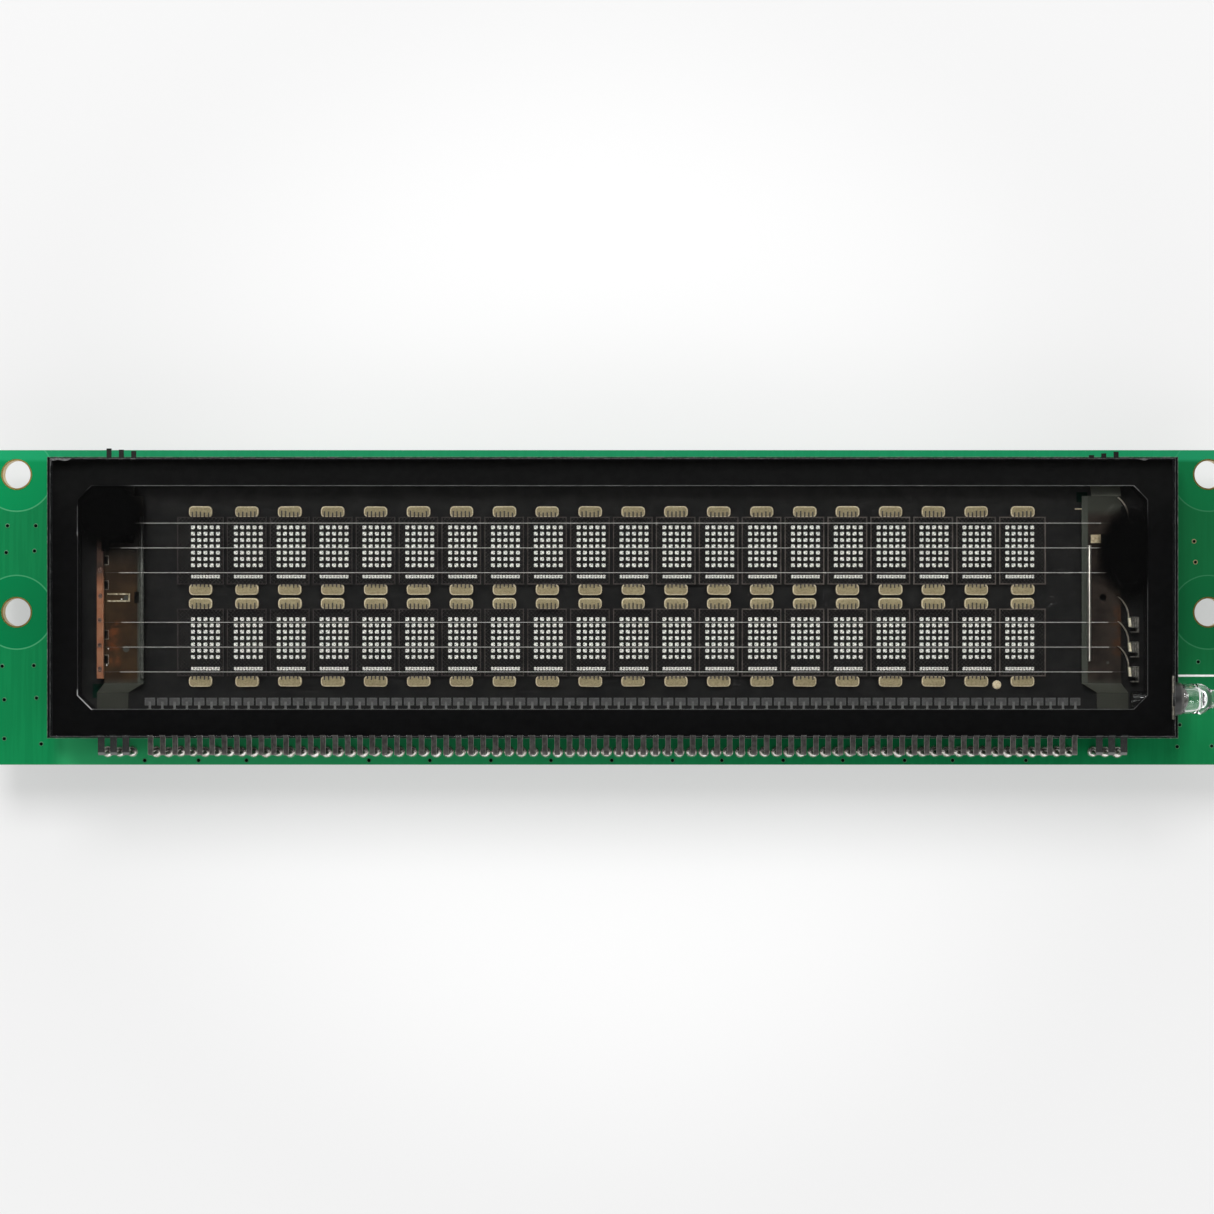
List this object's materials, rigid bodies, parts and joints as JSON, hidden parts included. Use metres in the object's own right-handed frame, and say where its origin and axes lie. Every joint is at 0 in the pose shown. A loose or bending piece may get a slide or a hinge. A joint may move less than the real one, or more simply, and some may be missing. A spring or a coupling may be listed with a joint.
{
  "type": "vacuum fluorescent display module",
  "caption": "Flat glass vacuum fluorescent character display soldered to a green circuit board, with its drive circuits and pin header on the back and mounting holes at the corners.",
  "frame": {"origin": "centre of the four mounting holes, in the board's back face", "axes": "+X along the lines of characters to the right, +Y up the display, +Z out of the display towards the reader"},
  "size_m": [0.155, 0.0388, 0.0195],
  "materials": {
    "board": "green solder mask over glass-epoxy laminate",
    "foam": "pale double-sided foam tape",
    "substrate_glass": "clear float glass with ground edges",
    "black_layer": "matt black printed insulating glaze",
    "frit": "dark sealing frit",
    "wall_glass": "black glass",
    "face_glass": "clear float glass with cut edges",
    "tube_glass": "clear blown glass",
    "collar_frit": "grey-brown fired frit",
    "phosphor": "pale matt phosphor",
    "grid_metal": "dark etched nickel alloy",
    "pad_frit": "tan fired paste",
    "lead_alloy": "tinned nickel alloy",
    "plate_alloy": "heat-tinted nickel alloy",
    "weld_bar": "heat-tinted copper alloy",
    "spacer_metal": "bright drawn wire",
    "filament_coat": "oxide-coated tungsten wire",
    "spring_metal": "spring alloy",
    "tab_metal": "bright welded tab",
    "getter_metal": "nickel strip",
    "header_plastic": "black moulded nylon",
    "pin_metal": "tin-plated brass",
    "package_plastic": "black moulded epoxy",
    "resonator_case": "orange dipped coating",
    "can_aluminium": "drawn aluminium can",
    "ferrite": "dark grey ferrite",
    "winding_tape": "amber tape over enamelled wire",
    "tab_tinned": "tinned copper",
    "chip_ceramic": "tan ceramic with tinned ends",
    "chip_resistor": "black-topped ceramic with tinned ends"
  },
  "bodies": {
    "root": {"circuit_board": "board", "foam_tape": "foam", "substrate_glass": "substrate_glass", "insulating_layer": "black_layer", "lower_frit_seal": "frit", "side_wall": "wall_glass", "upper_frit_seal": "frit", "face_glass": "face_glass", "exhaust_tube": "tube_glass", "exhaust_collar": "collar_frit", "phosphor_characters": "phosphor", "cursor_bars": "phosphor", "control_grids": "grid_metal", "bond_pads": "pad_frit", "test_pad": "lead_alloy", "main_leads": "lead_alloy", "left_anchor_plate": "plate_alloy", "right_support_plate": "plate_alloy", "filament_weld_bar": "weld_bar", "left_spacer_rod": "spacer_metal", "right_spacer_rod": "spacer_metal", "filaments": "filament_coat", "leaf_springs": "spring_metal", "weld_tabs": "tab_metal", "spring_seats": "plate_alloy", "ribbon_clip": "tab_metal", "getter_strips": "getter_metal", "getter_holders": "getter_metal", "header_housing": "header_plastic", "header_pins": "pin_metal", "driver_circuits": "package_plastic", "controller_circuit": "package_plastic", "resonator": "resonator_case", "capacitor_bases": "header_plastic", "capacitor_cans": "can_aluminium", "transformer_core": "ferrite", "transformer_winding": "winding_tape", "transformer_base": "header_plastic", "inductor": "ferrite", "transistor_body": "package_plastic", "transistor_tab": "tab_tinned", "rectifier_diodes": "package_plastic", "chip_capacitors": "chip_ceramic", "chip_resistors": "chip_resistor"}
  },
  "joints": []
}
